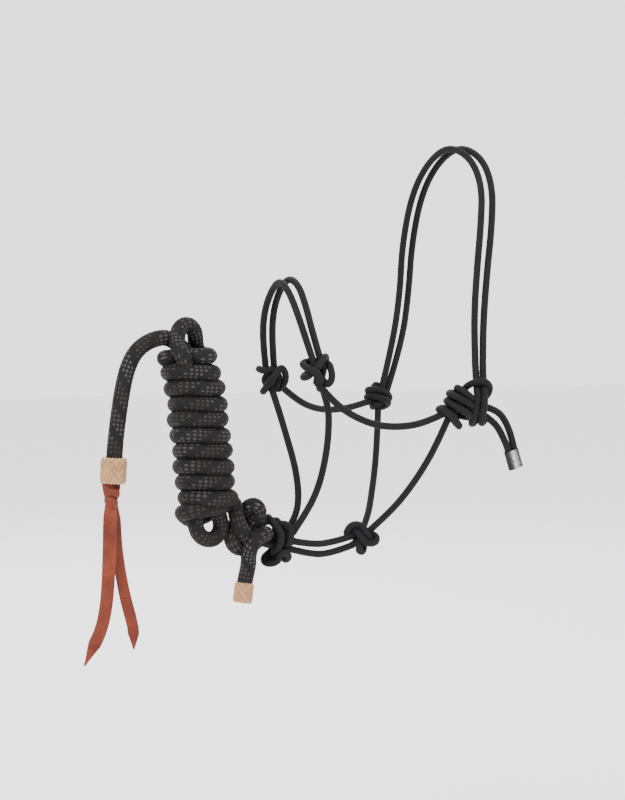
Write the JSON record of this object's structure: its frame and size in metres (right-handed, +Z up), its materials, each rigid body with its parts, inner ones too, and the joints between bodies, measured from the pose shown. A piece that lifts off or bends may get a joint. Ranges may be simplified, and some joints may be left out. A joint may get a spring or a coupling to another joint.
{
  "type": "rope halter",
  "caption": "Knotted cord halter with doubled noseband and crown, a chin loop, and a thick braided lead rope tied to it, wound in a hank and ending in a leather popper.",
  "frame": {"origin": "under the crown cords, at the middle of where they lie over the poll", "axes": "+Z up, +X towards the back of the horse's head, -Y towards the horse's near (left) side, where the crown is tied"},
  "size_m": [0.3901, 0.1926, 0.4587],
  "materials": {
    "halter_cord": "fine solid braid, matt",
    "lead_rope": "double braid, black with brown tracer patches",
    "rawhide": "natural rawhide, slightly glossy",
    "popper_leather": "oiled russet harness leather",
    "ferrule_metal": "bright nickel plate"
  },
  "bodies": {
    "halter": {"crown_front_cord": "halter_cord", "crown_rear_cord": "halter_cord", "noseband_front_cord": "halter_cord", "noseband_rear_cord": "halter_cord", "near_cheek_cord": "halter_cord", "off_cheek_cord": "halter_cord", "near_chin_cord": "halter_cord", "off_chin_cord": "halter_cord", "near_throat_cord": "halter_cord", "off_throat_cord": "halter_cord", "jaw_upper_cord": "halter_cord", "jaw_lower_cord": "halter_cord", "chin_loop": "halter_cord", "tie_loop": "halter_cord", "near_nose_knot": "halter_cord", "off_nose_knot": "halter_cord", "near_cheek_knot": "halter_cord", "off_cheek_knot": "halter_cord", "chin_knot": "halter_cord", "throat_knot": "halter_cord", "crown_hitch": "halter_cord"},
    "crown_tails": {"upper_crown_tail": "halter_cord", "lower_crown_tail": "halter_cord", "tail_ferrule": "ferrule_metal"},
    "lead": {"lead_knot": "lead_rope", "lead_stub": "lead_rope", "stub_rawhide_wrap": "rawhide", "lead_hank": "lead_rope"},
    "lead_tail": {"lead_tail": "lead_rope", "tail_rawhide_wrap": "rawhide", "popper_knot": "popper_leather"},
    "popper_left": {"popper_left_tongue": "popper_leather"},
    "popper_right": {"popper_right_tongue": "popper_leather"}
  },
  "joints": [
    {"name": "lead_swivel", "type": "hinge", "parent": "halter", "child": "lead", "pos_m": [-0.2, 0, -0.3475], "axis": [0, 0, 1], "range_deg": [-60, 60]},
    {"name": "tail_swing", "type": "hinge", "parent": "lead", "child": "lead_tail", "pos_m": [-0.289, 0, -0.17], "axis": [1, 0, 0], "range_deg": [-35, 35]},
    {"name": "popper_left_swing", "type": "hinge", "parent": "lead_tail", "child": "popper_left", "pos_m": [-0.34, -0.002, -0.3205], "axis": [1, 0, 0], "range_deg": [-45, 0]},
    {"name": "popper_right_swing", "type": "hinge", "parent": "lead_tail", "child": "popper_right", "pos_m": [-0.334, 0.002, -0.3205], "axis": [1, 0, 0], "range_deg": [0, 45]},
    {"name": "crown_tail_swing", "type": "hinge", "parent": "halter", "child": "crown_tails", "pos_m": [-0.014, -0.087, -0.2385], "axis": [1, 0, 0], "range_deg": [-35, 35]}
  ]
}
